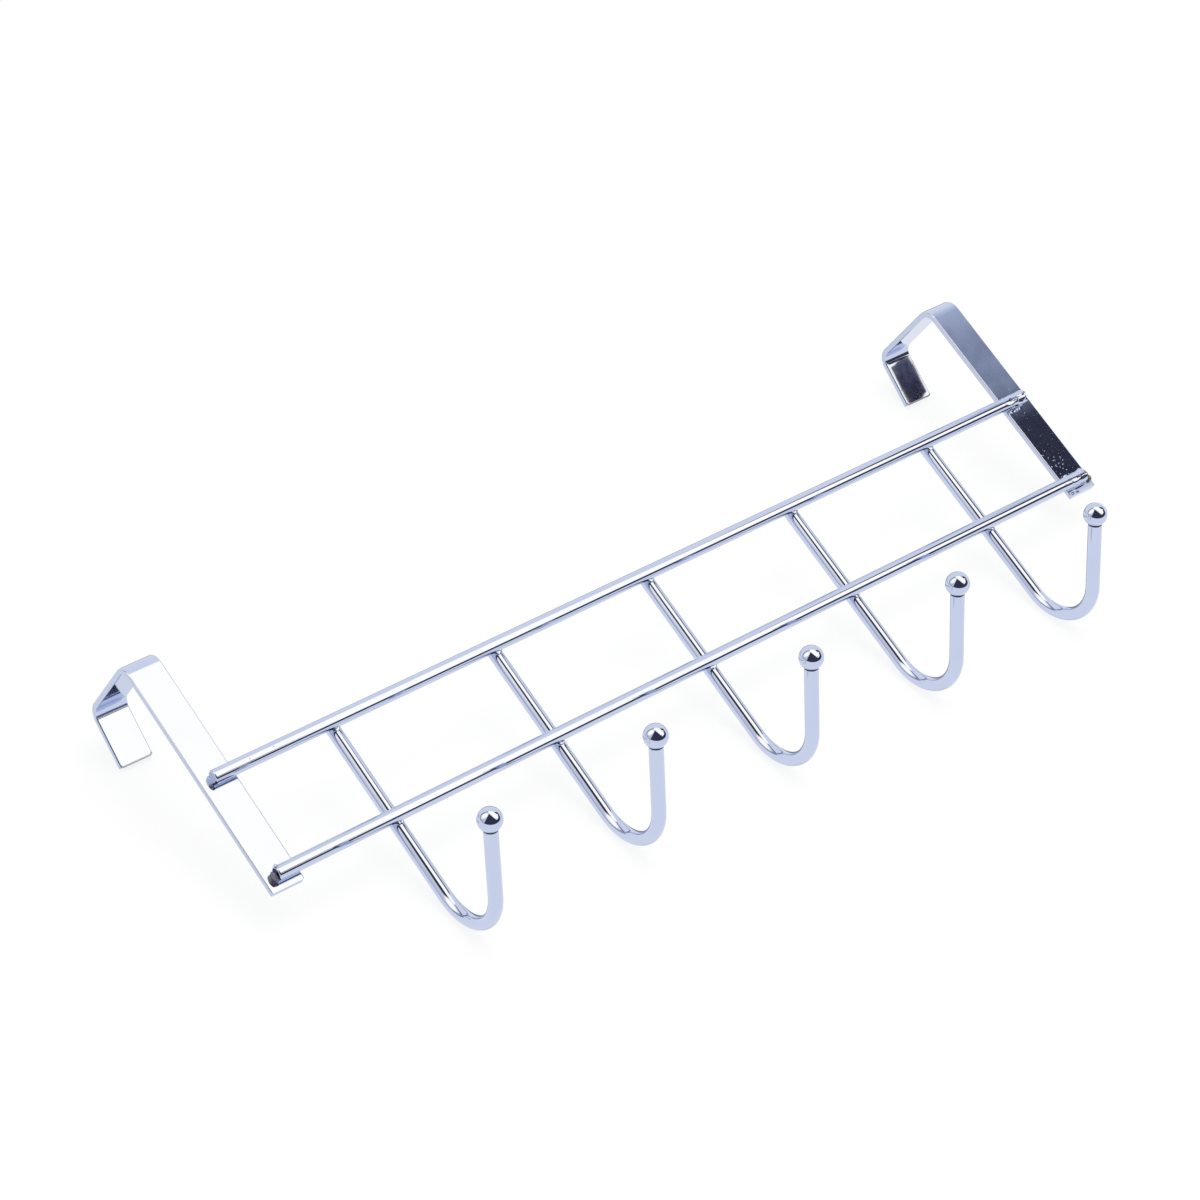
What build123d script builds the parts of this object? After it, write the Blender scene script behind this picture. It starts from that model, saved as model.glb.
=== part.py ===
from build123d import *
import os
from math import cos, radians, sin, tan

# Over-door hook rack in chromed steel: two flat strips bent over the top edge of a door, two round
# wire rails welded across their fronts, and a row of ball-tipped wire hooks welded behind the rails.
# X runs along the rails, Y points back into the door and Z is up, in millimetres and degrees.
# The origin is on the top front edge of the door, midway between the two strips.

# Strips that go over the door
strap_width = 12.7
strap_thickness = 2.2
strap_edge_radius = 0.5
strap_corner_radius = 0.8
strap_bend_radius = 4.0
door_gap = 36.5
bridge_rise = 8.4
tail_length = 20.8
tail_flare = 15.5
strap_below_rail = 4.8

# Rails
rail_diameter = 5.0
upper_rail_drop = 47.5
rail_spacing = 38.3
rail_end_inset = 4.0
rail_end_round = 0.5
rail_weld_sink = 0.4

# Hooks
hook_count = 5
hook_pitch = 67.3
strap_to_hook = 45.6
hook_diameter = 5.0
hook_weld_sink = 0.5
stem_top_round = 0.5
stem_above_rail = 3.5
stem_below_rail = 30.4
hook_bend_radius = 18.2
hook_turn = 122.5
tip_length = 26.3
tip_end_round = 0.8
ball_diameter = 8.5
ball_weld_sink = 0.9

# Places that follow from the sizes above
rail_radius = rail_diameter / 2
hook_radius = hook_diameter / 2
outer_hook_x = hook_pitch * (hook_count - 1) / 2
strap_x = outer_hook_x + strap_to_hook
rail_length = 2 * (strap_x + strap_width / 2 - rail_end_inset)
rail_y = rail_weld_sink - strap_thickness - rail_radius
stem_y = rail_y + rail_radius + hook_radius - hook_weld_sink
upper_rail_z = -upper_rail_drop
lower_rail_z = upper_rail_z - rail_spacing


def side_plane(x):
    """The upright plane at x, drawn with Y across and Z up."""
    return Plane(origin=(x, 0, 0), x_dir=(0, 1, 0), z_dir=(1, 0, 0))


def round_strip_end(strap, end, outward):
    """Rounds the two sheared corners of the strip's end, whose middle is end."""
    flat = Plane(origin=end, x_dir=(1, 0, 0), z_dir=Vector(1, 0, 0).cross(outward))
    for side in (-1, 1):
        corner = Pos(side * strap_width / 2, 0) * Rectangle(2 * strap_corner_radius, 2 * strap_corner_radius)
        inset = Pos(side * (strap_width / 2 - strap_corner_radius), -strap_corner_radius)
        strap -= extrude(flat * (corner - inset * Circle(strap_corner_radius)), strap_thickness, both=True)
    return strap


def make_strap(x):
    """A strip bent into a front leg, a bridge that rises over the door and a short flared tail behind it."""
    half = strap_thickness / 2
    rise = radians(bridge_rise)
    flare = radians(tail_flare)
    front_miter = half * (1 - sin(rise)) / cos(rise)
    rear_miter = half * (1 - sin(flare - rise)) / cos(flare - rise)
    tail_y = door_gap + half * cos(flare)
    tail_z = door_gap * tan(rise) + half * sin(flare)
    path = side_plane(x) * FilletPolyline(
        (-half, lower_rail_z - strap_below_rail),
        (-half, front_miter),
        (tail_y - rear_miter * sin(flare), tail_z + rear_miter * cos(flare)),
        (tail_y + tail_length * sin(flare), tail_z - tail_length * cos(flare)),
        radius=strap_bend_radius + half,
    )
    start = Plane(origin=path @ 0, x_dir=(1, 0, 0), z_dir=path % 0)
    strap = sweep(start * RectangleRounded(strap_width, strap_thickness, strap_edge_radius), path)
    strap = round_strip_end(strap, path @ 0, -(path % 0))
    return round_strip_end(strap, path @ 1, path % 1)


def make_rail(z):
    """A round wire with a weld flat pressed into it over each strip."""
    section = Plane(origin=(0, rail_y, z), x_dir=(0, 1, 0), z_dir=(1, 0, 0)) * Circle(rail_radius)
    rail = extrude(section, rail_length / 2, both=True)
    rail = fillet(rail.edges().filter_by(GeomType.CIRCLE), rail_end_round)
    for side in (-1, 1):
        rail -= Pos(side * strap_x, -strap_thickness / 2, z) * Box(strap_width, strap_thickness, rail_diameter)
    return rail


def make_hook(x, rails):
    """A stem bent forward and up into a straight tip, seated behind each rail, and the ball on the tip's end."""
    stem = Line((stem_y, upper_rail_z + stem_above_rail), (stem_y, lower_rail_z - stem_below_rail))
    bend = JernArc(stem @ 1, stem % 1, hook_bend_radius, -hook_turn)
    tip = Line(bend @ 1, bend @ 1 + tip_length * (bend % 1))
    path = side_plane(x) * Wire([stem, bend, tip])
    hook = sweep(Plane(origin=path @ 0, z_dir=path % 0) * Circle(hook_radius), path)
    for end, rounding in ((path @ 0, stem_top_round), (path @ 1, tip_end_round)):
        rim = hook.edges().filter_by(GeomType.CIRCLE).sort_by_distance(end)[0]
        hook = fillet(rim, rounding)
    ball = Pos(path @ 1 + (path % 1) * (ball_diameter / 2 - ball_weld_sink)) * Sphere(ball_diameter / 2)
    for welded in (*rails, ball):
        hook -= welded
    return hook, ball


nodes = {
    "left_strap": make_strap(-strap_x),
    "right_strap": make_strap(strap_x),
    "upper_rail": make_rail(upper_rail_z),
    "lower_rail": make_rail(lower_rail_z),
}
rails = (nodes["upper_rail"], nodes["lower_rail"])
for number in range(1, hook_count + 1):
    hook_x = hook_pitch * (number - 1) - outer_hook_x
    nodes[f"hook_{number}"], nodes[f"ball_{number}"] = make_hook(hook_x, rails)

os.makedirs("parts", exist_ok=True)
for name, solid in nodes.items():
    export_step(solid, f"parts/{name}.step")
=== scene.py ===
# %% [markdown]
# # A chromed over-door hook rack
# The rack is two flat strips bent over the top edge of a door, two round wire rails welded across
# their fronts, and five ball-tipped wire hooks welded behind the rails.
# The packed model is loaded first, as a fixed frame that everything else is fitted to.
# X runs along the rails, Y points back into the door and Z is up, in metres.

# %% Load the frame
import bmesh
import bpy
import math
from mathutils import Matrix, Vector


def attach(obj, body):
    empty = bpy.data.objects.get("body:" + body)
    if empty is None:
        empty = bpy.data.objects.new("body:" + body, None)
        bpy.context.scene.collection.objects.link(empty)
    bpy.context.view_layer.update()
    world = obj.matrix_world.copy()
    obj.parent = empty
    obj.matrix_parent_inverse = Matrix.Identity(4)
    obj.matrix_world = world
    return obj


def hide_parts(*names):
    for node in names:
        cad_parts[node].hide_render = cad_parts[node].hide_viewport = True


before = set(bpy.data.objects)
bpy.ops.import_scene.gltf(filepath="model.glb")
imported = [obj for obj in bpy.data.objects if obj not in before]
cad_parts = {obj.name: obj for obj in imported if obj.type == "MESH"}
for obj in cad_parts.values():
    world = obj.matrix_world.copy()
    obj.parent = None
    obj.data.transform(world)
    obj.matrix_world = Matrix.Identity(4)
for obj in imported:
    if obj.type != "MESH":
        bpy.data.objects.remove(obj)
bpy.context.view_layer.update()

# %% [markdown]
# ## Chrome
# Bright chrome shows almost nothing of its own: it is a cool mirror, a little blue, and what the eye
# reads as chrome is the room around it. One plain metal shader would do, but it looks too perfect, so
# quiet things are added. The plating is not equally clear everywhere, so colour and roughness drift.
# The steel under it was rolled or drawn, so faint lines run along it. A few grains were plated over,
# so tiny pimples stand out where the mirror is dark. And the long edges of the strips were sheared:
# they are rougher and mirror the room as a soft grey. An edge looks sideways, along X, so the
# direction that a face looks in tells the shader where the edges are.
# One small helper makes and links nodes, for materials, for the studio and for Geometry Nodes alike.

# %% A helper for node trees
def add_node(tree, kind, **links):
    """Makes one node; each keyword is a socket to set or link, or a property of the node."""
    made = tree.nodes.new(kind)
    for name, value in links.items():
        label = name.replace("_", " ")
        if hasattr(made, name) and label not in made.inputs:
            setattr(made, name, value)
            continue
        by_number = name[0] == "i" and name[1:].isdigit()
        socket = made.inputs[int(name[1:])] if by_number else made.inputs[label]
        if isinstance(value, bpy.types.NodeSocket):
            tree.links.new(value, socket)
        else:
            socket.default_value = value
    return made


print("helper:", add_node.__doc__)


# %% Three kinds of node that come back often
def calc(tree, operation, *values):
    """One step of arithmetic."""
    sockets = {f"i{k}": value for k, value in enumerate(values)}
    return add_node(tree, "ShaderNodeMath", operation=operation, **sockets).outputs[0]


def ranged(tree, value, low, high, soft=False, **to):
    """Turns low to high into 0 to 1, or into To_Min to To_Max; soft eases both ends."""
    easing = "SMOOTHSTEP" if soft else "LINEAR"
    made = add_node(tree, "ShaderNodeMapRange", interpolation_type=easing, Value=value,
                    From_Min=low, From_Max=high, **to)
    return made.outputs["Result"]


def mixed(tree, share, first, second):
    """Blends two colours: a share of 0 is the first, a share of 1 the second."""
    return add_node(tree, "ShaderNodeMix", data_type="RGBA", i0=share, i6=first, i7=second).outputs[2]


print("nodes:", calc.__name__, ranged.__name__, mixed.__name__)

# %% Edges and relief
SHEARED_COLOUR = (0.52, 0.58, 0.74, 1.0)
SHEARED_ROUGHNESS = 0.22
SHEARED_FROM, SHEARED_FULL = 0.45, 0.75
RELIEF_HEIGHT = 0.0001
PIMPLE_STRENGTH = 0.15
PIMPLE_RIM, PIMPLE_TOP = 0.06, 0.01


def sheared_edges(tree, tint, roughness):
    """Makes the faces that look sideways rougher; gives the new colour and roughness."""
    facing = add_node(tree, "ShaderNodeTexCoord").outputs["Normal"]
    sideways = calc(tree, "ABSOLUTE", add_node(tree, "ShaderNodeSeparateXYZ", Vector=facing).outputs["X"])
    edge = ranged(tree, sideways, SHEARED_FROM, SHEARED_FULL)
    rougher = add_node(tree, "ShaderNodeMix", i0=edge, i2=roughness, i3=SHEARED_ROUGHNESS).outputs[0]
    return mixed(tree, edge, tint, SHEARED_COLOUR), rougher


def relief(tree, place, grain, grain_depth, pimples):
    """Faint lines along the steel with tiny pimples on them, as one bumped normal."""
    stretched = add_node(tree, "ShaderNodeMapping", Vector=place, Scale=grain).outputs["Vector"]
    lines = add_node(tree, "ShaderNodeTexNoise", Vector=stretched, Scale=1.0, Detail=2.0).outputs["Fac"]
    lined = add_node(tree, "ShaderNodeBump", Height=lines, Strength=grain_depth, Distance=RELIEF_HEIGHT)
    from_grain = add_node(tree, "ShaderNodeTexVoronoi", Vector=place, Scale=pimples).outputs["Distance"]
    dots = ranged(tree, from_grain, PIMPLE_RIM, PIMPLE_TOP, soft=True)
    pimpled = add_node(tree, "ShaderNodeBump", Height=dots, Strength=PIMPLE_STRENGTH, Distance=RELIEF_HEIGHT,
                       Normal=lined.outputs["Normal"])
    return pimpled.outputs["Normal"]


print("sheared edges: roughness", SHEARED_ROUGHNESS, "| relief:", RELIEF_HEIGHT * 1000, "mm")

# %% The chrome material
# Each finish drifts between two colours.
BRIGHT = ((0.53, 0.60, 0.78, 1.0), (0.59, 0.645, 0.82, 1.0))
CUT = ((0.36, 0.39, 0.45, 1.0), (0.42, 0.45, 0.50, 1.0))
DULL = ((0.10, 0.11, 0.25, 1.0), (0.35, 0.32, 0.31, 1.0))
# The seam colours are near black: painted shade for the crevice between each ball and its tip.
SEAM_SHADE = ((0.02, 0.03, 0.05, 1.0), (0.06, 0.07, 0.10, 1.0))
CLOUDS_PER_METRE = 55.0
CLOUD_LOW, CLOUD_HIGH = 0.3, 0.75


def chrome(name, place_of, grain, grain_depth, pimples, tints=BRIGHT,
           clearest=0.035, dullest=0.085, sheared=False):
    """Chrome over steel; place_of lays it out, grain (along each axis) and pimples are counts per metre."""
    finish = bpy.data.materials.new(name)
    finish.use_nodes = True
    tree = finish.node_tree
    shader = tree.nodes["Principled BSDF"]
    shader.inputs["Metallic"].default_value = 1.0
    place = place_of(tree)
    cloud = add_node(tree, "ShaderNodeTexNoise", Vector=place, Scale=CLOUDS_PER_METRE, Detail=3.0)
    cloud = cloud.outputs["Fac"]
    tint = mixed(tree, cloud, *tints)
    roughness = ranged(tree, cloud, CLOUD_LOW, CLOUD_HIGH, To_Min=clearest, To_Max=dullest)
    if sheared:
        tint, roughness = sheared_edges(tree, tint, roughness)
    tree.links.new(tint, shader.inputs["Base Color"])
    tree.links.new(roughness, shader.inputs["Roughness"])
    tree.links.new(relief(tree, place, grain, grain_depth, pimples), shader.inputs["Normal"])
    return finish


def on_object(tree):
    """Lays a finish out by the place on the piece."""
    return add_node(tree, "ShaderNodeTexCoord").outputs["Object"]


def along_wire(tree):
    """Lays a finish out on the wire as it was before it was bent."""
    return add_node(tree, "ShaderNodeAttribute", attribute_name="straight").outputs["Vector"]


print("colours of the bright chrome:", BRIGHT[0][:3], "to", BRIGHT[1][:3])

# %% One finish for each kind of piece
finishes = {
    "strap_chrome": chrome("chromed_rolled_strip", on_object, (300.0, 40.0, 40.0), 0.05, 220.0, sheared=True),
    "rail_chrome": chrome("chromed_drawn_rail", on_object, (25.0, 500.0, 500.0), 0.05, 160.0),
    "hook_chrome": chrome("chromed_drawn_hook", along_wire, (500.0, 500.0, 25.0), 0.05, 160.0),
    "ball_chrome": chrome("chromed_ball", on_object, (120.0, 120.0, 120.0), 0.03, 160.0),
}
weld_finish = chrome("chromed_weld", on_object, (700.0, 700.0, 700.0), 0.20, 500.0, BRIGHT, 0.05, 0.12)
dull_finish = chrome("dull_weld", on_object, (900.0, 900.0, 900.0), 0.12, 500.0, DULL, 0.45, 0.60)
cut_finish = chrome("chromed_cut", on_object, (700.0, 700.0, 700.0), 0.10, 500.0, CUT, 0.12, 0.20)
# The neck rings' finish is near black: painted shade in the corner between ball and tip.
seam_shade_finish = chrome("seam_painted_shade", on_object, (900.0, 900.0, 900.0), 0.10, 500.0, SEAM_SHADE, 0.30, 0.45)
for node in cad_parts.values():
    for material_slot in node.material_slots:
        material_slot.material = finishes[material_slot.material.name.split(".")[0]]
print("finishes:", sorted(finishes))

# %% [markdown]
# ## Growing pieces from rules
# A hook follows a rule: a straight stem, a round bend, a straight tip. So do the welds: one at every
# place where two wires cross. Such pieces could be modelled by hand, but a rule is shorter and stays
# exact, so they are grown by Geometry Nodes. Each tree has named inputs for its sizes, and its result
# is kept as a plain mesh, because an exported model can't hold the tree.

# %% Two helpers for Geometry Nodes
def new_tree(name, sizes):
    """An empty tree with a named input for each size; gives the tree and its inputs."""
    tree = bpy.data.node_groups.new(name, "GeometryNodeTree")
    tree.interface.new_socket("Geometry", in_out="INPUT", socket_type="NodeSocketGeometry")
    for label, value in sizes.items():
        kind = "NodeSocketInt" if isinstance(value, int) else "NodeSocketFloat"
        tree.interface.new_socket(label, in_out="INPUT", socket_type=kind)
    tree.interface.new_socket("Geometry", in_out="OUTPUT", socket_type="NodeSocketGeometry")
    return tree, tree.nodes.new("NodeGroupInput").outputs


def grow(name, tree, sizes, start_mesh):
    """Runs a tree on a start mesh and keeps the result as a plain mesh at the origin."""
    holder = bpy.data.objects.new(name + "_start", start_mesh)
    bpy.context.scene.collection.objects.link(holder)
    modifier = holder.modifiers.new("tree", "NODES")
    modifier.node_group = tree
    for item in tree.interface.items_tree:
        if item.in_out == "INPUT" and item.name in sizes:
            modifier[item.identifier] = sizes[item.name]
    grown = holder.evaluated_get(bpy.context.evaluated_depsgraph_get())
    piece = bpy.data.objects.new(name, bpy.data.meshes.new_from_object(grown))
    bpy.data.objects.remove(holder)
    bpy.context.scene.collection.objects.link(piece)
    return piece


print("helpers:", new_tree.__name__, grow.__name__)

# %% [markdown]
# ## The hooks
# Each hook is one length of drawn wire, bent forward and up. The packed model has the same shape, but
# no record of how the wire was drawn: a finish laid out by place would run straight across the bend,
# while drawn lines follow it. So the wire is grown along its path, which gives every point two facts,
# how far along the wire it lies and where on the section. Together they are the point's place on the
# straight wire, before it was bent, and the finish is laid out there.
# The points on the path are eased, so that they crowd at both ends, where the wire is rounded off.

# %% Sizes of a hook
HOOK_SIZES = {
    "Wire Radius": 0.00248, "Stem Y": 0.0002, "Stem Top": -0.0440, "Stem Length": 0.0722,
    "Bend Radius": 0.0182, "Turn": math.radians(122.5), "Tip Length": 0.0263,
    "Top Round": 0.0005, "Tip Round": 0.0008, "Points": 260, "Around": 48, "Hooks": 5, "Pitch": 0.0673,
}
hook_tree, hook_size = new_tree("bent_wire_hooks", HOOK_SIZES)
print("sizes of a hook:", len(HOOK_SIZES))


# %% The path of a hook
def reckon(operation, *values):
    """One step of arithmetic for the hooks."""
    return calc(hook_tree, operation, *values)


stem, bend, turn = hook_size["Stem Length"], hook_size["Bend Radius"], hook_size["Turn"]
index = add_node(hook_tree, "GeometryNodeInputIndex").outputs[0]
share = reckon("DIVIDE", index, reckon("SUBTRACT", hook_size["Points"], 1.0))
to_tip = reckon("ADD", stem, reckon("MULTIPLY", bend, turn))
wire_length = reckon("ADD", to_tip, hook_size["Tip Length"])
run = reckon("MULTIPLY", ranged(hook_tree, share, 0.0, 1.0, soft=True), wire_length)
down_stem = reckon("MINIMUM", run, stem)
past_stem = reckon("MAXIMUM", reckon("SUBTRACT", run, stem), 0.0)
angle = reckon("MINIMUM", reckon("DIVIDE", past_stem, bend), turn)
up_tip = reckon("MAXIMUM", reckon("SUBTRACT", run, to_tip), 0.0)
forward = reckon("SUBTRACT", 1.0, reckon("COSINE", angle))
path_y = reckon("SUBTRACT", hook_size["Stem Y"], reckon("MULTIPLY", bend, forward))
path_y = reckon("SUBTRACT", path_y, reckon("MULTIPLY", up_tip, reckon("SINE", turn)))
path_z = reckon("SUBTRACT", hook_size["Stem Top"], down_stem)
path_z = reckon("SUBTRACT", path_z, reckon("MULTIPLY", bend, reckon("SINE", angle)))
path_z = reckon("SUBTRACT", path_z, reckon("MULTIPLY", up_tip, reckon("COSINE", turn)))
path_place = add_node(hook_tree, "ShaderNodeCombineXYZ", Y=path_y, Z=path_z).outputs["Vector"]
print("path of a hook:", len(hook_tree.nodes), "nodes")


# %% Rounded ends and values kept on the points
def rounding(round_size, from_end):
    """How much thinner the wire is at a distance from a rounded end."""
    inside = reckon("MAXIMUM", reckon("SUBTRACT", round_size, from_end), 0.0)
    rise = reckon("SUBTRACT", reckon("POWER", round_size, 2.0), reckon("POWER", inside, 2.0))
    return reckon("SUBTRACT", round_size, reckon("SQRT", rise))


def keep(geometry, label, kind, value):
    """Keeps a value on the points of the hooks under a name."""
    stored = add_node(hook_tree, "GeometryNodeStoreNamedAttribute", data_type=kind, domain="POINT",
                      Name=label, Geometry=geometry, Value=value)
    return stored.outputs["Geometry"]


def kept(tree, label, kind="FLOAT"):
    """Reads a value that is kept on the points."""
    return add_node(tree, "GeometryNodeInputNamedAttribute", data_type=kind, Name=label).outputs["Attribute"]


def position(tree):
    """Where each point is."""
    return add_node(tree, "GeometryNodeInputPosition").outputs[0]


from_tip = reckon("SUBTRACT", wire_length, run)
thinner = reckon("ADD", rounding(hook_size["Top Round"], run), rounding(hook_size["Tip Round"], from_tip))
thickness = reckon("SUBTRACT", 1.0, reckon("DIVIDE", thinner, hook_size["Wire Radius"]))
print("with rounded ends:", len(hook_tree.nodes), "nodes")

# %% The wire on that path
dots = add_node(hook_tree, "GeometryNodeMeshLine", Count=hook_size["Points"]).outputs["Mesh"]
dots = keep(dots, "thickness", "FLOAT", thickness)
dots = keep(dots, "along", "FLOAT", run)
dots = add_node(hook_tree, "GeometryNodeSetPosition", Geometry=dots, Position=path_place).outputs["Geometry"]
path = add_node(hook_tree, "GeometryNodeMeshToCurve", Mesh=dots).outputs["Curve"]
ring = add_node(hook_tree, "GeometryNodeCurvePrimitiveCircle", Resolution=hook_size["Around"],
                Radius=hook_size["Wire Radius"]).outputs["Curve"]
ring = keep(ring, "section", "FLOAT_VECTOR", position(hook_tree))
wire = add_node(hook_tree, "GeometryNodeCurveToMesh", Curve=path, Profile_Curve=ring,
                Scale=kept(hook_tree, "thickness"), Fill_Caps=True).outputs["Mesh"]
print("with the wire:", len(hook_tree.nodes), "nodes")


# %% A row of hooks
def along_x(tree, x):
    """A step along the rails."""
    return add_node(tree, "ShaderNodeCombineXYZ", X=x).outputs["Vector"]


def copied(tree, points, piece, **more):
    """One real copy of a piece on each point."""
    copies = add_node(tree, "GeometryNodeInstanceOnPoints", Points=points, Instance=piece, **more)
    made = add_node(tree, "GeometryNodeRealizeInstances", Geometry=copies.outputs["Instances"])
    return made.outputs["Geometry"]


pitch = hook_size["Pitch"]
half_row = reckon("DIVIDE", reckon("SUBTRACT", 1.0, hook_size["Hooks"]), 2.0)
row = add_node(hook_tree, "GeometryNodeMeshLine", Count=hook_size["Hooks"],
               Start_Location=along_x(hook_tree, reckon("MULTIPLY", pitch, half_row)),
               Offset=along_x(hook_tree, pitch)).outputs["Mesh"]
hooks = copied(hook_tree, row, wire)
print("with the row:", len(hook_tree.nodes), "nodes")

# %% The place on the straight wire
# The wires are laid out half a metre apart, so that no two hooks have the same lines.
WIRE_STEP = 0.5


def finish_tree(tree, geometry, material, drop=(), other=None, where=None):
    """Drops kept values, shades smooth, sets the material (another one where asked), closes the tree."""
    for label in drop:
        cleaned = add_node(tree, "GeometryNodeRemoveAttribute", Geometry=geometry, Name=label)
        geometry = cleaned.outputs["Geometry"]
    geometry = add_node(tree, "GeometryNodeSetShadeSmooth", Geometry=geometry).outputs["Geometry"]
    made = add_node(tree, "GeometryNodeSetMaterial", Geometry=geometry, Material=material)
    if other:
        made = add_node(tree, "GeometryNodeSetMaterial", Geometry=made.outputs["Geometry"],
                        Selection=where, Material=other)
    add_node(tree, "NodeGroupOutput", Geometry=made.outputs["Geometry"])


x_here = add_node(hook_tree, "ShaderNodeSeparateXYZ", Vector=position(hook_tree)).outputs["X"]
number = reckon("ROUND", reckon("DIVIDE", x_here, pitch))
laid_out = reckon("MULTIPLY_ADD", number, WIRE_STEP, kept(hook_tree, "along"))
straight = add_node(hook_tree, "ShaderNodeVectorMath", operation="ADD",
                    i0=kept(hook_tree, "section", "FLOAT_VECTOR"),
                    i1=add_node(hook_tree, "ShaderNodeCombineXYZ", Z=laid_out).outputs["Vector"])
hooks = keep(hooks, "straight", "FLOAT_VECTOR", straight.outputs["Vector"])
finish_tree(hook_tree, hooks, finishes["hook_chrome"], ("thickness", "along", "section"))
hook_wires = grow("hook_wires", hook_tree, HOOK_SIZES, bpy.data.meshes.new("no_start"))
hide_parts(*(f"hook_{k}" for k in range(1, 6)))
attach(hook_wires, "root")
print("hook wires:", len(hook_wires.data.polygons), "faces")

# %% [markdown]
# ## The welds
# Where a stem crosses a rail the two wires were pressed together and fused, and a little metal was
# squeezed out. At the left ends of the rails a dull lump was left against the strip; at the right ends
# the weld ran hotter, crumpled the rail and smeared metal over the strip. Such lumps could be sculpted,
# but they are many and small, so each is a ball at a listed place, stretched to its reach and then
# dented by noise that differs from place to place.

# %% Places of the welds
RAIL_HEIGHTS = (-0.0475, -0.0858)
STRIP_FRONT = -0.0022
CROSSING_Y = -0.0021
CROSSING_REACH = (0.0023, 0.00075, 0.0032)
HOOK_PLACES = [k * HOOK_SIZES["Pitch"] for k in range(-2, 3)]
# Each lump has a place, a reach along each axis, and 1 where the metal was left dull.
lumps = [(x, CROSSING_Y, height, *CROSSING_REACH, 0) for height in RAIL_HEIGHTS for x in HOOK_PLACES]
lumps += [
    (-0.1836, -0.0025, -0.0492, 0.0008, 0.0007, 0.0009, 1),
    (-0.1834, -0.0036, -0.0864, 0.0009, 0.0020, 0.0021, 1),
    (-0.1822, -0.0062, -0.0840, 0.0009, 0.0007, 0.0008, 0),
    (0.1768, STRIP_FRONT, -0.0504, 0.0022, 0.0004, 0.0009, 0),
    (0.1789, STRIP_FRONT, -0.0503, 0.0016, 0.0007, 0.0010, 0),
    (0.1762, STRIP_FRONT, -0.0447, 0.0018, 0.0003, 0.0008, 0),
    (0.1774, STRIP_FRONT, -0.0829, 0.0013, 0.0004, 0.0010, 0),
    (0.1812, STRIP_FRONT, -0.0832, 0.0024, 0.0008, 0.0009, 0),
    (0.1838, -0.0028, -0.0834, 0.0012, 0.0010, 0.0014, 0),
    (0.1844, -0.0034, -0.0853, 0.0014, 0.0013, 0.0016, 1),
    (0.1853, -0.0029, -0.0872, 0.0010, 0.0009, 0.0012, 1),
    (0.1776, STRIP_FRONT, -0.0899, 0.0008, 0.0004, 0.0005, 1),
    (0.1752, STRIP_FRONT, -0.0898, 0.0009, 0.0004, 0.0006, 0),
]
weld_places = bpy.data.meshes.new("weld_places")
weld_places.from_pydata([lump[:3] for lump in lumps], [], [])
reaches = [length for lump in lumps for length in lump[3:6]]
weld_places.attributes.new("reach", "FLOAT_VECTOR", "POINT").data.foreach_set("vector", reaches)
dullness = [float(lump[6]) for lump in lumps]
weld_places.attributes.new("dull", "FLOAT", "POINT").data.foreach_set("value", dullness)
print("weld lumps:", len(lumps))

# %% Grow the welds
WELD_SIZES = {"Dents Per Metre": 420.0, "Dent Depth": 0.0009, "Fineness": 4}
weld_tree, weld_size = new_tree("weld_lumps", WELD_SIZES)


def dent(tree, geometry, per_metre, depth, middle=0.55, drawn_out=1.0):
    """Pushes a surface in and out by noise; drawn_out makes the dents longer along X."""
    squeezed = add_node(tree, "ShaderNodeVectorMath", operation="MULTIPLY",
                        i0=position(tree), i1=(1.0 / drawn_out, 1.0, 1.0))
    noise = add_node(tree, "ShaderNodeTexNoise", Vector=squeezed.outputs["Vector"],
                     Scale=per_metre, Detail=1.5)
    height = calc(tree, "MULTIPLY", calc(tree, "SUBTRACT", noise.outputs["Fac"], middle), depth)
    push = add_node(tree, "ShaderNodeVectorMath", operation="SCALE",
                    i0=add_node(tree, "GeometryNodeInputNormal").outputs[0], Scale=height)
    moved = add_node(tree, "GeometryNodeSetPosition", Geometry=geometry, Offset=push.outputs["Vector"])
    return moved.outputs["Geometry"]


ball = add_node(weld_tree, "GeometryNodeMeshIcoSphere", Radius=1.0, Subdivisions=weld_size["Fineness"])
lump_balls = copied(weld_tree, weld_size["Geometry"], ball.outputs["Mesh"],
                    Scale=kept(weld_tree, "reach", "FLOAT_VECTOR"))
lump_balls = dent(weld_tree, lump_balls, weld_size["Dents Per Metre"], weld_size["Dent Depth"])
noted = add_node(weld_tree, "GeometryNodeCaptureAttribute", domain="FACE", Geometry=lump_balls)
noted.capture_items.new("FLOAT", "noted dull")
weld_tree.links.new(kept(weld_tree, "dull"), noted.inputs["noted dull"])
is_dull = calc(weld_tree, "GREATER_THAN", noted.outputs["noted dull"], 0.5)
finish_tree(weld_tree, noted.outputs["Geometry"], weld_finish, ("reach", "dull"), dull_finish, is_dull)
welds = grow("weld_lumps", weld_tree, WELD_SIZES, weld_places)
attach(welds, "root")
print("weld faces:", len(welds.data.polygons))

# %% [markdown]
# ## Crumpled rail ends
# The heat of the right-hand welds left the last centimetre of each rail wrinkled, in ridges that run
# along the wire. Denting the rail itself would change the packed model, so a sleeve hardly thicker than
# the plating lies on it there. The noise that dents the lumps is used again, drawn out along the rail
# and growing towards its end. The lower rail is less wrinkled, so its sleeve is dented half as deep.

# %% A sleeve for each rail
CRUMPLE_SIZES = {"Start": 0.1715, "End": 0.1828, "Radius": 0.00252, "Points": 90, "Around": 64,
                 "Dents Per Metre": 450.0, "Dent Depth": 0.0018}
crumple_tree, crumple_size = new_tree("crumpled_rail_ends", CRUMPLE_SIZES)


def tube(tree, curve, radius, around, **more):
    """A round tube along a curve."""
    ring = add_node(tree, "GeometryNodeCurvePrimitiveCircle", Resolution=around, Radius=radius)
    made = add_node(tree, "GeometryNodeCurveToMesh", Curve=curve, Profile_Curve=ring.outputs["Curve"], **more)
    return made.outputs["Mesh"]


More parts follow.
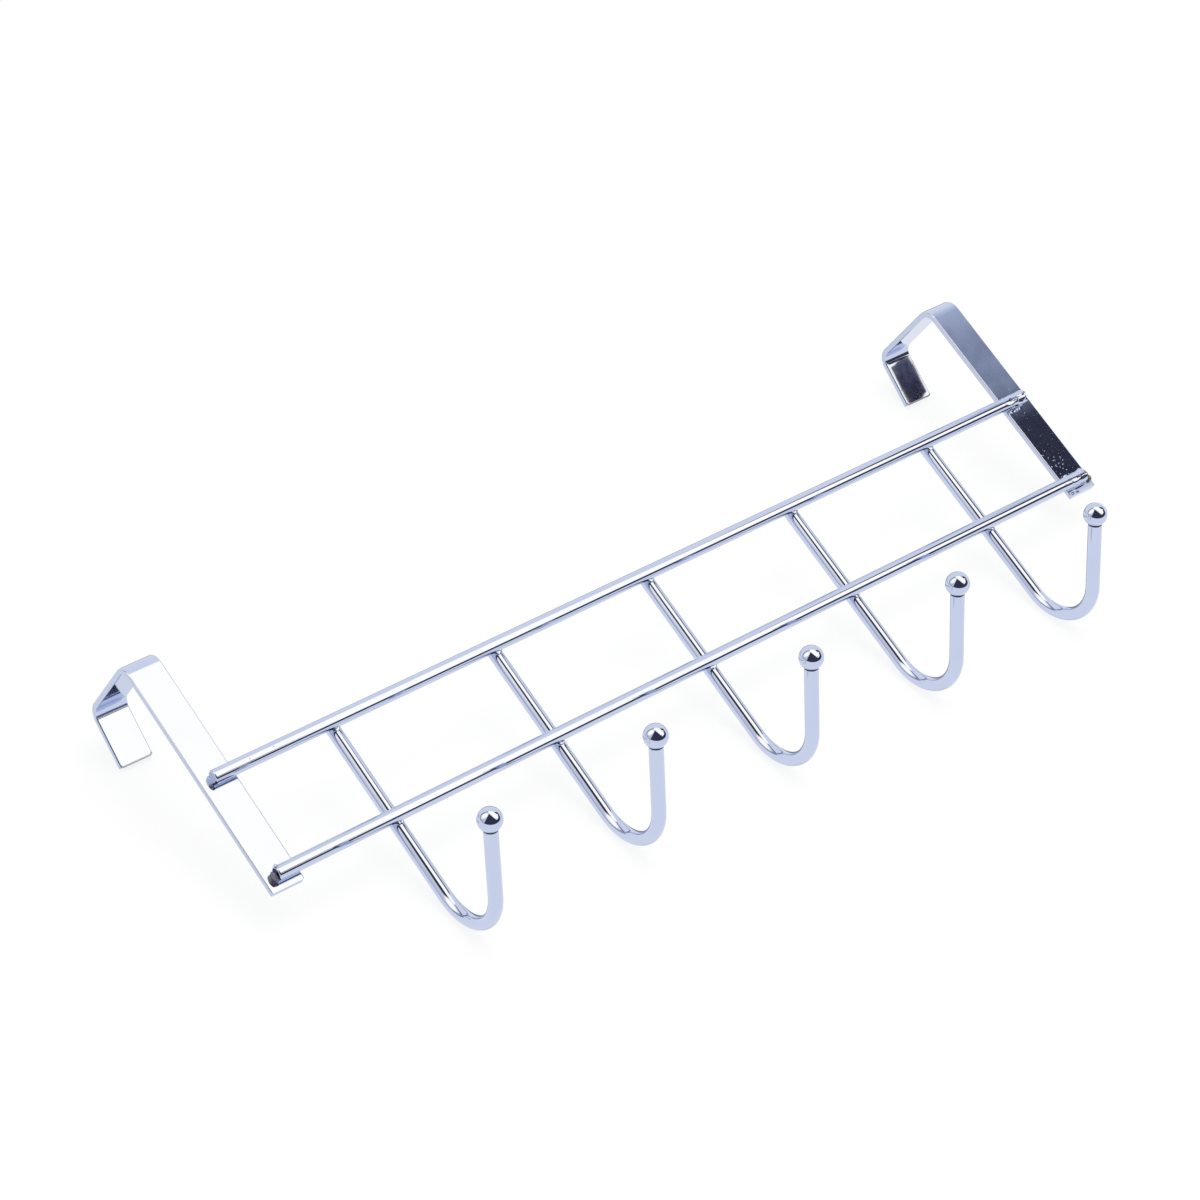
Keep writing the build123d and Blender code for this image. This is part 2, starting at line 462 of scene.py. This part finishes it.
line = add_node(crumple_tree, "GeometryNodeMeshLine", mode="END_POINTS", Count=crumple_size["Points"],
                Start_Location=along_x(crumple_tree, crumple_size["Start"]),
                Offset=along_x(crumple_tree, crumple_size["End"])).outputs["Mesh"]
line = add_node(crumple_tree, "GeometryNodeMeshToCurve", Mesh=line).outputs["Curve"]
sleeve = tube(crumple_tree, line, crumple_size["Radius"], crumple_size["Around"], Fill_Caps=True)
sleeves = copied(crumple_tree, crumple_size["Geometry"], sleeve)
print("sleeve from", CRUMPLE_SIZES["Start"], "to", CRUMPLE_SIZES["End"])

# %% Grow the crumpled ends
FULL_DEPTH_AT = 0.1775
LOWER_RAIL_SHARE = 0.5
RIDGE_MIDDLE = 0.46
RIDGE_DRAWN_OUT = 2.8
here = add_node(crumple_tree, "ShaderNodeSeparateXYZ", Vector=position(crumple_tree))
growing = ranged(crumple_tree, here.outputs["X"], crumple_size["Start"], FULL_DEPTH_AT, soft=True,
                 To_Max=crumple_size["Dent Depth"])
by_rail = ranged(crumple_tree, here.outputs["Z"], RAIL_HEIGHTS[1], RAIL_HEIGHTS[0],
                 To_Min=LOWER_RAIL_SHARE, To_Max=1.0)
sleeves = dent(crumple_tree, sleeves, crumple_size["Dents Per Metre"],
               calc(crumple_tree, "MULTIPLY", growing, by_rail), RIDGE_MIDDLE, RIDGE_DRAWN_OUT)
finish_tree(crumple_tree, sleeves, weld_finish)
RAIL_Y = -0.0043
rail_places = bpy.data.meshes.new("rail_places")
rail_places.from_pydata([(0.0, RAIL_Y, height) for height in RAIL_HEIGHTS], [], [])
crumple = grow("crumpled_rail_ends", crumple_tree, CRUMPLE_SIZES, rail_places)
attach(crumple, "root")
print("crumple faces:", len(crumple.data.polygons))

# %% [markdown]
# ## Necks
# Each ball was welded on the end of its tip, and a narrow seam was left all round in the corner
# between the two. A dark line in the finish could stand for it, but a seam has a thickness that catches
# the light, so it is one thin ring, turned square to the tip and set at every hook. The ring is coloured
# near black: painted shade for the crevice between ball and tip, where little light reaches.

# %% Where the seams are
SEAM_BACK_FROM_TIP = 0.00036
turn_end = HOOK_SIZES["Turn"]
stem_foot = HOOK_SIZES["Stem Top"] - HOOK_SIZES["Stem Length"]
tip_way = Vector((0.0, -math.sin(turn_end), -math.cos(turn_end)))
bend_end = Vector((0.0, HOOK_SIZES["Stem Y"] - HOOK_SIZES["Bend Radius"] * (1 - math.cos(turn_end)),
                   stem_foot - HOOK_SIZES["Bend Radius"] * math.sin(turn_end)))
seam_at = bend_end + tip_way * (HOOK_SIZES["Tip Length"] - SEAM_BACK_FROM_TIP)
neck_places = bpy.data.meshes.new("neck_places")
neck_places.from_pydata([(x, seam_at.y, seam_at.z) for x in HOOK_PLACES], [], [])
print("seams at", [round(v, 4) for v in seam_at])

# %% Grow the seams
NECK_SIZES = {"Seam Radius": 0.00220, "Seam Thickness": 0.00036, "Around Tip": 64, "Around Seam": 16}
neck_tree, neck_size = new_tree("neck_seams", NECK_SIZES)
around_tip = add_node(neck_tree, "GeometryNodeCurvePrimitiveCircle", Resolution=neck_size["Around Tip"],
                      Radius=neck_size["Seam Radius"]).outputs["Curve"]
seam = tube(neck_tree, around_tip, neck_size["Seam Thickness"], neck_size["Around Seam"])
seams = copied(neck_tree, neck_size["Geometry"], seam,
               Rotation=tuple(tip_way.to_track_quat("Z", "Y").to_euler()))
finish_tree(neck_tree, seams, seam_shade_finish)
necks = grow("neck_seams", neck_tree, NECK_SIZES, neck_places)
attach(necks, "root")
print("seam faces:", len(necks.data.polygons))

# %% [markdown]
# ## Spatter
# Sparks from the hot right-hand welds froze on the strip and rails as beads smaller than a pinhead, and
# the plating made them shine. The larger ones have a listed place. The rest would take long to list, so
# Distribute Points on Faces scatters them with a fixed seed over two patches: beads of the full size
# just above the lower weld, and finer ones over the whole front of the strip between the rails.

# %% Where the beads are
RAIL_RADIUS = 0.0025
STRIP_BEADS = [(0.1769, -0.0700), (0.1751, -0.0714), (0.1811, -0.0748), (0.1775, -0.0749), (0.1770, -0.0776),
               (0.1763, -0.0808), (0.1795, -0.0822), (0.1758, -0.0821), (0.1805, -0.0531), (0.1815, -0.0422)]
# On a rail: the place along it, the degrees up from the front, and which rail.
RAIL_BEADS = [(-0.1202, -74.0, 0), (-0.1690, -4.0, 0), (-0.1596, 1.0, 0), (0.0914, -61.0, 0),
              (0.1616, -69.0, 0), (0.0805, -4.5, 1)]
SPATTER_PATCH = [(0.1742, -0.0835), (0.1860, -0.0835), (0.1820, -0.0740), (0.1742, -0.0700)]
FINE_PATCH = [(0.1745, -0.0830), (0.1860, -0.0830), (0.1860, -0.0420), (0.1745, -0.0500)]
FINE_SHARE = 0.42
beads = [(x, STRIP_FRONT, z) for x, z in STRIP_BEADS]
for x, degrees, rail in RAIL_BEADS:
    turned = math.radians(degrees)
    beads.append((x, RAIL_Y - RAIL_RADIUS * math.cos(turned),
                  RAIL_HEIGHTS[rail] + RAIL_RADIUS * math.sin(turned)))
corners = [(x, STRIP_FRONT, z) for x, z in SPATTER_PATCH + FINE_PATCH]
first_corner = len(beads)
patches = [tuple(range(first_corner + k, first_corner + k + 4)) for k in (0, 4)]
bead_places = bpy.data.meshes.new("bead_places")
bead_places.from_pydata(beads + corners, [], patches)
shares = [1.0] * (first_corner + 4) + [FINE_SHARE] * 4
bead_places.attributes.new("share", "FLOAT", "POINT").data.foreach_set("value", shares)
print("known beads:", len(beads), "patches:", len(patches))

# %% Grow the beads
BEAD_SIZES = {"Known Beads": len(beads), "Beads Per Square Metre": 200000.0,
              "Smallest": 0.00008, "Largest": 0.00026, "Fineness": 2, "Seed": 7}
bead_tree, bead_size = new_tree("weld_spatter", BEAD_SIZES)
is_known = add_node(bead_tree, "FunctionNodeCompare", data_type="INT", operation="LESS_THAN",
                    i2=add_node(bead_tree, "GeometryNodeInputIndex").outputs[0], i3=bead_size["Known Beads"])
fixed = add_node(bead_tree, "GeometryNodeMeshToPoints", Mesh=bead_size["Geometry"],
                 Selection=is_known.outputs[0])
spread = add_node(bead_tree, "GeometryNodeDistributePointsOnFaces", Mesh=bead_size["Geometry"],
                  Density=bead_size["Beads Per Square Metre"], Seed=bead_size["Seed"])
all_beads = add_node(bead_tree, "GeometryNodeJoinGeometry")
bead_tree.links.new(spread.outputs["Points"], all_beads.inputs[0])
bead_tree.links.new(fixed.outputs["Points"], all_beads.inputs[0])
bead = add_node(bead_tree, "GeometryNodeMeshIcoSphere", Radius=1.0, Subdivisions=bead_size["Fineness"])
bead_radius = add_node(bead_tree, "FunctionNodeRandomValue", data_type="FLOAT", i2=bead_size["Smallest"],
                       i3=bead_size["Largest"], Seed=bead_size["Seed"])
bead_radius = calc(bead_tree, "MULTIPLY", bead_radius.outputs[1], kept(bead_tree, "share"))
bead_balls = copied(bead_tree, all_beads.outputs[0], bead.outputs["Mesh"], Scale=bead_radius)
finish_tree(bead_tree, bead_balls, weld_finish, ("share",))
spatter = grow("weld_spatter", bead_tree, BEAD_SIZES, bead_places)
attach(spatter, "root")
print("spatter faces:", len(spatter.data.polygons))

# %% [markdown]
# ## Lips on the tails
# The strips were cut to length by a shear, which leaves a thin lip along the cut, and the plating rounds
# it off. On the tails the lip faces the front, and its curve mirrors the tent where the flat strip
# mirrors a lamp: a fine grey line, by which a white strip ends on a white table. A bevel would have to
# cut into the packed strip, so the lip is a thin wire laid along the cut and round its corners.

# %% Places of the lips
STRIP_X = 0.1802
LIP_HALF = 0.00595
LIP_CORNER = 0.0008
CUT_MIDDLE = Vector((0.0, 0.04221, -0.01446))
TAIL_FLARE = math.radians(15.5)
up_tail = Vector((0.0, -math.sin(TAIL_FLARE), math.cos(TAIL_FLARE)))
quarter = range(0, 91, 15)
lip_turns = [(-1, 180 - degrees) for degrees in quarter] + [(1, 90 - degrees) for degrees in quarter]
lip_points, lip_edges = [], []
for side in (-1, 1):
    first_point = len(lip_points)
    for hand, degrees in lip_turns:
        corner = math.radians(degrees)
        reach = hand * (LIP_HALF - LIP_CORNER) + LIP_CORNER * math.cos(corner)
        back = up_tail * LIP_CORNER * (1 - math.sin(corner))
        lip_points.append(CUT_MIDDLE + Vector((side * STRIP_X + reach, 0.0, 0.0)) + back)
    lip_edges += [(k - 1, k) for k in range(first_point + 1, len(lip_points))]
lip_places = bpy.data.meshes.new("lip_places")
lip_places.from_pydata(lip_points, lip_edges, [])
print("lip points:", len(lip_points))

# %% Grow the lips
LIP_SIZES = {"Lip Radius": 0.00036, "Around": 16}
lip_tree, lip_size = new_tree("tail_lips", LIP_SIZES)
cut = add_node(lip_tree, "GeometryNodeMeshToCurve", Mesh=lip_size["Geometry"]).outputs["Curve"]
lip = tube(lip_tree, cut, lip_size["Lip Radius"], lip_size["Around"], Fill_Caps=True)
lip = add_node(lip_tree, "GeometryNodeRealizeInstances", Geometry=lip).outputs["Geometry"]
finish_tree(lip_tree, lip, cut_finish)
lips = grow("tail_lips", lip_tree, LIP_SIZES, lip_places)
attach(lips, "root")
print("lip faces:", len(lips.data.polygons))

# %% [markdown]
# ## The camera
# The rack lies on its back on a table and is seen from its lower left, from about 1.2 metres.
# Turning the rack would move every piece away from the packed model, so the camera is turned instead:
# in the rack's own frame it stands below and to the left, rolled to one side.

# %% Camera
EYE = Vector((-0.635400, -0.955358, -0.379179))
LOOK = Vector((0.519505, 0.807214, 0.280216)).normalized()
CAMERA_UP = Vector((0.364643, -0.506018, 0.781653)).normalized()
CAMERA_RIGHT = LOOK.cross(CAMERA_UP)
camera_data = bpy.data.cameras.new("camera")
camera_data.sensor_width = 36.0
camera_data.lens = 102.793
camera = bpy.data.objects.new("camera", camera_data)
bpy.context.scene.collection.objects.link(camera)
camera_turn = Matrix((CAMERA_RIGHT, CAMERA_UP, -LOOK)).transposed().to_4x4()
camera.matrix_world = Matrix.Translation(EYE) @ camera_turn
bpy.context.scene.camera = camera
print("camera at", [round(v, 3) for v in EYE])

# %% [markdown]
# ## The table
# The rack rests on the flared tails behind the door and on the backs of the hook bends, so the
# table is a plane through those two lines. It is seen from its front only: from behind it turns
# clear, so that the back of the rack can be looked at too. To the camera most of its white is its own,
# and the rest is lit, so that the shadow on it stays as faint as on a light table.

# %% The table's plane
TAIL_FOOT = Vector((0.0, 0.04418, -0.01407))
TABLE_TILT = math.radians(21.364)
TABLE_NORMAL = Vector((0.0, -math.cos(TABLE_TILT), math.sin(TABLE_TILT)))
TABLE_HALF = 4.0
TABLE_GAP = 0.0002
table_right = Vector((TABLE_HALF, 0.0, 0.0))
table_down = TABLE_NORMAL.cross(Vector((1.0, 0.0, 0.0))) * TABLE_HALF
table_middle = TAIL_FOOT - TABLE_NORMAL * TABLE_GAP
table_corners = [table_middle - table_right - table_down, table_middle + table_right - table_down,
                 table_middle + table_right + table_down, table_middle - table_right + table_down]
table_mesh = bpy.data.meshes.new("table")
table_mesh.from_pydata(table_corners, [], [(0, 1, 2, 3)])
if table_mesh.polygons[0].normal.dot(TABLE_NORMAL) < 0:
    table_mesh.flip_normals()
table = bpy.data.objects.new("table", table_mesh)
bpy.context.scene.collection.objects.link(table)
print("table normal", [round(v, 3) for v in TABLE_NORMAL])

# %% The table's white
PAPER_WHITE = (0.93, 0.93, 0.93, 1.0)
OWN_SHARE = 0.8
paper = bpy.data.materials.new("white_paper")
paper.use_nodes = True
paper_tree = paper.node_tree
paper_tree.nodes.clear()
rays = add_node(paper_tree, "ShaderNodeLightPath")
lit = add_node(paper_tree, "ShaderNodeBsdfDiffuse", Color=PAPER_WHITE)
own_white = add_node(paper_tree, "ShaderNodeEmission", Color=(1.0, 1.0, 1.0, 1.0), Strength=1.0)
to_camera = calc(paper_tree, "MULTIPLY", rays.outputs["Is Camera Ray"], OWN_SHARE)
sheet = add_node(paper_tree, "ShaderNodeMixShader", Fac=to_camera, i1=lit.outputs[0], i2=own_white.outputs[0])
clear = add_node(paper_tree, "ShaderNodeBsdfTransparent")
side_seen = add_node(paper_tree, "ShaderNodeNewGeometry")
one_sided = add_node(paper_tree, "ShaderNodeMixShader", Fac=side_seen.outputs["Backfacing"],
                     i1=sheet.outputs[0], i2=clear.outputs[0])
add_node(paper_tree, "ShaderNodeOutputMaterial", Surface=one_sided.outputs[0])
table_mesh.materials.append(paper)
table.visible_glossy = False
print("the table's own white:", OWN_SHARE)

# %% [markdown]
# ## The studio
# Chrome is lit by what it mirrors. The rack stood in a white tent, open towards the camera, with two
# soft lamps in the opening and the dark room between them. The tent is a big glowing ball around the
# rack that only mirrors can see; everything else sees a plain white world. A picture on the world itself
# would be endlessly far away, and both ends of a rail would mirror the same part of it. A ball of three
# metres is near enough for the mirrored lamp to change along the rails, as it does in a real tent.
# Every place on the ball has an address: the middle is straight back to the camera, the rim straight
# behind. Lamps and opening are ovals at such addresses.

# %% The ball
TENT_RADIUS = 1.47
TENT_MIDDLE = Vector((0.0, -0.05, -0.105))
world = bpy.data.worlds.new("plain_white")
bpy.context.scene.world = world
world.use_nodes = True
world.node_tree.nodes["Background"].inputs["Color"].default_value = (1.0, 1.0, 1.0, 1.0)
tent_mesh = bpy.data.meshes.new("tent")
builder = bmesh.new()
bmesh.ops.create_icosphere(builder, subdivisions=5, radius=TENT_RADIUS)
builder.to_mesh(tent_mesh)
builder.free()
tent = bpy.data.objects.new("tent", tent_mesh)
tent.location = TENT_MIDDLE
bpy.context.scene.collection.objects.link(tent)
cloth = bpy.data.materials.new("tent_cloth")
cloth.use_nodes = True
cloth.cycles.emission_sampling = "NONE"
tent_tree = cloth.node_tree
tent_tree.nodes.clear()
print("tent:", len(tent_mesh.polygons), "faces, radius", TENT_RADIUS)


# %% Addresses on the ball
def tent_vector(operation, *values):
    """One step of arithmetic with directions."""
    sockets = {f"i{k}": value for k, value in enumerate(values)}
    return add_node(tent_tree, "ShaderNodeVectorMath", operation=operation, **sockets).outputs


from_middle = add_node(tent_tree, "ShaderNodeTexCoord").outputs["Object"]
direction = tent_vector("NORMALIZE", from_middle)["Vector"]
half_way = tent_vector("NORMALIZE", tent_vector("SUBTRACT", direction, tuple(LOOK))["Vector"])["Vector"]
address_x = tent_vector("DOT_PRODUCT", half_way, tuple(CAMERA_RIGHT))["Value"]
address_y = tent_vector("DOT_PRODUCT", half_way, tuple(CAMERA_UP))["Value"]
address = add_node(tent_tree, "ShaderNodeCombineXYZ", X=address_x, Y=address_y).outputs["Vector"]
print("address nodes:", len(tent_tree.nodes))


# %% Shapes on the ball
def oval(centre, radii, turned, soft):
    """1 inside an oval on the ball, 0 outside, with a soft edge."""
    placed = add_node(tent_tree, "ShaderNodeMapping", vector_type="TEXTURE", Vector=address,
                      Location=(*centre, 0.0), Rotation=(0.0, 0.0, math.radians(turned)), Scale=(*radii, 1.0))
    reach = tent_vector("LENGTH", placed.outputs["Vector"])["Value"]
    return ranged(tent_tree, reach, 1.0 + soft, 1.0 - soft, soft=True)


def beyond(point, turned, soft):
    """1 on the left of a line through a point, going along an angle, 0 on its right."""
    placed = add_node(tent_tree, "ShaderNodeMapping", vector_type="TEXTURE", Vector=address,
                      Location=(*point, 0.0), Rotation=(0.0, 0.0, math.radians(turned)))
    height = add_node(tent_tree, "ShaderNodeSeparateXYZ", Vector=placed.outputs["Vector"]).outputs["Y"]
    return ranged(tent_tree, height, -soft, soft, soft=True)


def towards(way, start, full):
    """1 where the ball lies along a direction, 0 away from it; start and full are cosines."""
    near = tent_vector("DOT_PRODUCT", direction, tuple(way))["Value"]
    return ranged(tent_tree, near, start, full, soft=True)


def both(a, b):
    """Where two shapes overlap."""
    return calc(tent_tree, "MULTIPLY", a, b)


def either(a, b):
    """Where one shape or the other is."""
    return calc(tent_tree, "MAXIMUM", a, b)


def without(a, b):
    """The first shape with the second cut out of it."""
    return both(a, calc(tent_tree, "SUBTRACT", 1.0, b))


print("shapes:", oval.__name__, beyond.__name__, towards.__name__)

# %% [markdown]
# ## Opening and lamps
# The opening is wide and dark, with an upper corner to the right. The left lamp hangs behind a grey
# cloth and fades at its edges; the right one is a plain bright panel. Both end at lines that meet above,
# and every ball shows the dark wedge between them. The right panel has a small patch added,
# which the right tail mirrors as white margins, and a small spot cut out of it, which the left strip
# mirrors as a dark corner between its bridge and its tail. A painted picture could hold all this too,
# but shapes can be moved one at a time.

# %% Opening and lamps
ROOM = (0.05, 0.05, 0.08, 1.0)
CLOTH = (0.80, 0.80, 0.82, 1.0)
LAMP = (1.74, 1.59, 1.29, 1.0)
LAMPS_MEET = (-0.08, 0.435)
LEFT_LINE, RIGHT_LINE, LINE_SOFT = 64.5, -40.0, 0.012
# Each oval has a centre, two radii, a turn in degrees and a softness.
OPENING = ((0.035, 0.113), (0.735, 0.473), -2.5, 0.03)
OPENING_CORNER = ((0.40, 0.315), (0.28, 0.26), 0.0, 0.03)
LEFT_CLOTH = ((0.035, 0.105), (0.69, 0.44), -2.5, 0.06)
LEFT_LAMP = ((-0.37, 0.26), (0.27, 0.14), 37.0, 0.45)
PANEL_STEEP = ((0.198, 0.302), (0.435, 0.255), -38.0, 0.03)
PANEL_FLAT = ((0.196, 0.288), (0.44, 0.235), -24.0, 0.03)
PANEL_LIMIT = ((0.035, 0.113), (0.80, 0.51), -2.5, 0.05)
TAIL_MARGIN = ((0.512, 0.357), (0.065, 0.06), 0.0, 0.12)
DARK_CORNER = ((0.432, 0.056), (0.028, 0.040), 0.0, 0.25)
opening = either(oval(*OPENING), oval(*OPENING_CORNER))
left_part = beyond(LAMPS_MEET, LEFT_LINE, LINE_SOFT)
left_cloth = both(oval(*LEFT_CLOTH), left_part)
left_lamp = both(oval(*LEFT_LAMP), left_part)
panel = either(either(oval(*PANEL_STEEP), oval(*PANEL_FLAT)), oval(*TAIL_MARGIN))
panel = both(panel, beyond(LAMPS_MEET, RIGHT_LINE, LINE_SOFT))
right_lamp = both(without(panel, oval(*DARK_CORNER)), oval(*PANEL_LIMIT))
print("lamps and opening:", len(tent_tree.nodes), "nodes")

# %% [markdown]
# ## The far side of the tent
# Behind the rack the cloth is not lit evenly. It is a little darker straight behind, where the underside
# of the left bridge looks, and much darker in a small part higher up, which wires mirror along their
# upper rims: that draws the fine outline by which a wire stands off from a white table. Dark rims could
# be painted on the wires, but then they would not move when the wire is seen from another side.

# %% Colour the tent
TENT = (1.0, 1.0, 1.0, 1.0)
BACK_CLOTH = (0.84, 0.86, 0.90, 1.0)
FAR_CLOTH = (0.30, 0.30, 0.36, 1.0)
BACK_WAY = Vector((0.20, 0.97, -0.14)).normalized()
BACK_START, BACK_FULL = 0.90, 0.99
FAR_WAY = Vector((0.49, 0.72, 0.49)).normalized()
FAR_START, FAR_FULL = 0.92, 0.97
mirrored = mixed(tent_tree, opening, TENT, ROOM)
mirrored = mixed(tent_tree, left_cloth, mirrored, CLOTH)
mirrored = mixed(tent_tree, either(left_lamp, right_lamp), mirrored, LAMP)
mirrored = mixed(tent_tree, towards(BACK_WAY, BACK_START, BACK_FULL), mirrored, BACK_CLOTH)
mirrored = mixed(tent_tree, towards(FAR_WAY, FAR_START, FAR_FULL), mirrored, FAR_CLOTH)
tent_glow = add_node(tent_tree, "ShaderNodeEmission", Color=mirrored, Strength=1.0)
add_node(tent_tree, "ShaderNodeOutputMaterial", Surface=tent_glow.outputs[0])
tent_mesh.materials.append(cloth)


def only_for_mirrors(thing):
    """Hides a stage object from everything but mirrors."""
    thing.visible_camera = False
    thing.visible_diffuse = False
    thing.visible_transmission = False
    thing.visible_shadow = False


only_for_mirrors(tent)
print("tent nodes:", len(tent_tree.nodes))

# %% [markdown]
# ## Cards
# The right strip is dark where the left one is white, though both face the same way and have the same
# chrome: it mirrors something that the left one doesn't. Darker paint would stay dark from every side,
# so two cards that only mirrors can see stand there instead. The strip's card hangs to the right of the
# rack and a third of a metre in front of it. It is white at its foot, then black, then grey; above that
# it leans away and fades to the white of the tent, which the strip's bend mirrors as a soft fade. The
# tail's card is a black patch with an uneven outline. It stands close beside the right strip, just in
# front of the door's plane, where the tail mirrors it.

# %% A card
SPOTS_PER_METRE = 350.0
SPOT_LOW, SPOT_HIGH = 0.35, 0.65
DIMMEST, BRIGHTEST = 0.6, 1.4


def fade(tree, height, low, high, stops):
    """A colour that changes with height; each stop is a share of the way from low to high, and a colour."""
    ramp = add_node(tree, "ShaderNodeValToRGB", Fac=ranged(tree, height, low, high))
    steps = ramp.color_ramp.elements
    for at, colour in stops[1:-1]:
        steps.new(at).color = (*colour, 1.0)
    for end in (0, -1):
        steps[end].position = stops[end][0]
        steps[end].color = (*stops[end][1], 1.0)
    return ramp.outputs["Color"]


def card(name, card_y, outline, low, high, stops):
    """A flat glowing card seen by mirrors only, a little uneven, with a fade from low to high."""
    mesh = bpy.data.meshes.new(name)
    mesh.from_pydata([(x, card_y, z) for x, z in outline], [], [tuple(range(len(outline)))])
    board = bpy.data.objects.new(name, mesh)
    bpy.context.scene.collection.objects.link(board)
    paint = bpy.data.materials.new(name)
    paint.use_nodes = True
    tree = paint.node_tree
    tree.nodes.clear()
    place = add_node(tree, "ShaderNodeTexCoord").outputs["Object"]
    height = add_node(tree, "ShaderNodeSeparateXYZ", Vector=place).outputs["Z"]
    spots = add_node(tree, "ShaderNodeTexNoise", Vector=place, Scale=SPOTS_PER_METRE, Detail=3.0)
    uneven = ranged(tree, spots.outputs["Fac"], SPOT_LOW, SPOT_HIGH, To_Min=DIMMEST, To_Max=BRIGHTEST)
    glow = add_node(tree, "ShaderNodeEmission", Color=fade(tree, height, low, high, stops), Strength=uneven)
    add_node(tree, "ShaderNodeOutputMaterial", Surface=glow.outputs[0])
    mesh.materials.append(paint)
    only_for_mirrors(board)
    return board


print("helpers:", fade.__name__, card.__name__)

# %% The strip's card
STRIP_CARD_Y = -0.35
# Each row has a height and the left and right edges of the card there.
STRIP_CARD_ROWS = [(0.005, 0.462, 0.494), (0.134, 0.462, 0.494), (0.211, 0.488, 0.522), (0.306, 0.532, 0.568),
                   (0.437, 0.607, 0.645), (0.643, 0.742, 0.783), (0.804, 0.857, 0.899)]
STRIP_CARD_COLOURS = [
    (0.016, (1.3, 1.3, 1.25)), (0.020, (0.04, 0.04, 0.06)), (0.063, (0.04, 0.04, 0.06)),
    (0.0845, (0.33, 0.36, 0.43)), (0.1146, (0.37, 0.40, 0.49)), (0.134, (0.56, 0.60, 0.69)),
    (0.35, (0.76, 0.79, 0.86)), (0.804, (1.0, 1.0, 1.0)),
]
card_foot, card_head = STRIP_CARD_ROWS[0][0], STRIP_CARD_ROWS[-1][0]
strip_outline = [(left, z) for z, left, right in STRIP_CARD_ROWS]
strip_outline += [(right, z) for z, left, right in reversed(STRIP_CARD_ROWS)]
strip_stops = [((z - card_foot) / (card_head - card_foot), colour) for z, colour in STRIP_CARD_COLOURS]
strip_card = card("strip_card", STRIP_CARD_Y, strip_outline, card_foot, card_head, strip_stops)
print("strip card:", len(strip_outline), "corners")

# %% The tail's card
TAIL_CARD_Y = -0.002
TAIL_CARD_TOP = (0.2111, -0.00603)
TAIL_CARD_WIDTH = 0.0132
TAIL_CARD_DROP = 0.01712
TAIL_CARD_LEAN = 0.0036
TAIL_CARD_FADE = (-0.025, -0.005)
# Each corner is a share of the width and a share of the drop.
TAIL_CARD_CORNERS = [(0.11, 0.00), (0.30, -0.02), (0.45, -0.07), (0.89, -0.11), (0.94, 0.20), (0.92, 0.53),
                     (0.915, 0.88), (0.76, 0.93), (0.60, 1.01), (0.46, 1.10), (0.08, 1.10), (0.08, 0.69),
                     (0.11, 0.15)]
TAIL_CARD_STOPS = [(0.0, (0.03, 0.03, 0.05)), (0.5, (0.05, 0.05, 0.08)), (1.0, (0.10, 0.10, 0.14))]
tail_outline = [(TAIL_CARD_TOP[0] + TAIL_CARD_LEAN * drop + (width - 0.5) * TAIL_CARD_WIDTH,
                 TAIL_CARD_TOP[1] - TAIL_CARD_DROP * drop) for width, drop in TAIL_CARD_CORNERS]
tail_card = card("tail_card", TAIL_CARD_Y, tail_outline, *TAIL_CARD_FADE, TAIL_CARD_STOPS)
print("cards:", strip_card.name, tail_card.name)

# %% [markdown]
# ## The lamp
# The shadow on the table is faint and wide, as under a large soft lamp almost straight above. The
# glowing tent can't cast it, because only mirrors see the tent, so one round area lamp hangs over the
# table. Mirrors don't see this lamp, since the tent already shows them two.

# %% Lamp
LAMP_OVER = Vector((0.15, -0.05, -0.05))
LAMP_HEIGHT = 1.2
lamp_data = bpy.data.lights.new("soft_lamp", "AREA")
lamp_data.shape = "DISK"
lamp_data.size = 0.8
lamp_data.energy = 4.0
lamp = bpy.data.objects.new("soft_lamp", lamp_data)
bpy.context.scene.collection.objects.link(lamp)
lamp.location = LAMP_OVER + TABLE_NORMAL * LAMP_HEIGHT
lamp.rotation_mode = "QUATERNION"
lamp.rotation_quaternion = TABLE_NORMAL.to_track_quat("Z", "Y")
lamp.visible_glossy = False
bpy.context.scene.view_settings.view_transform = "Standard"
print("lamp", lamp_data.energy, "W")

# %% [markdown]
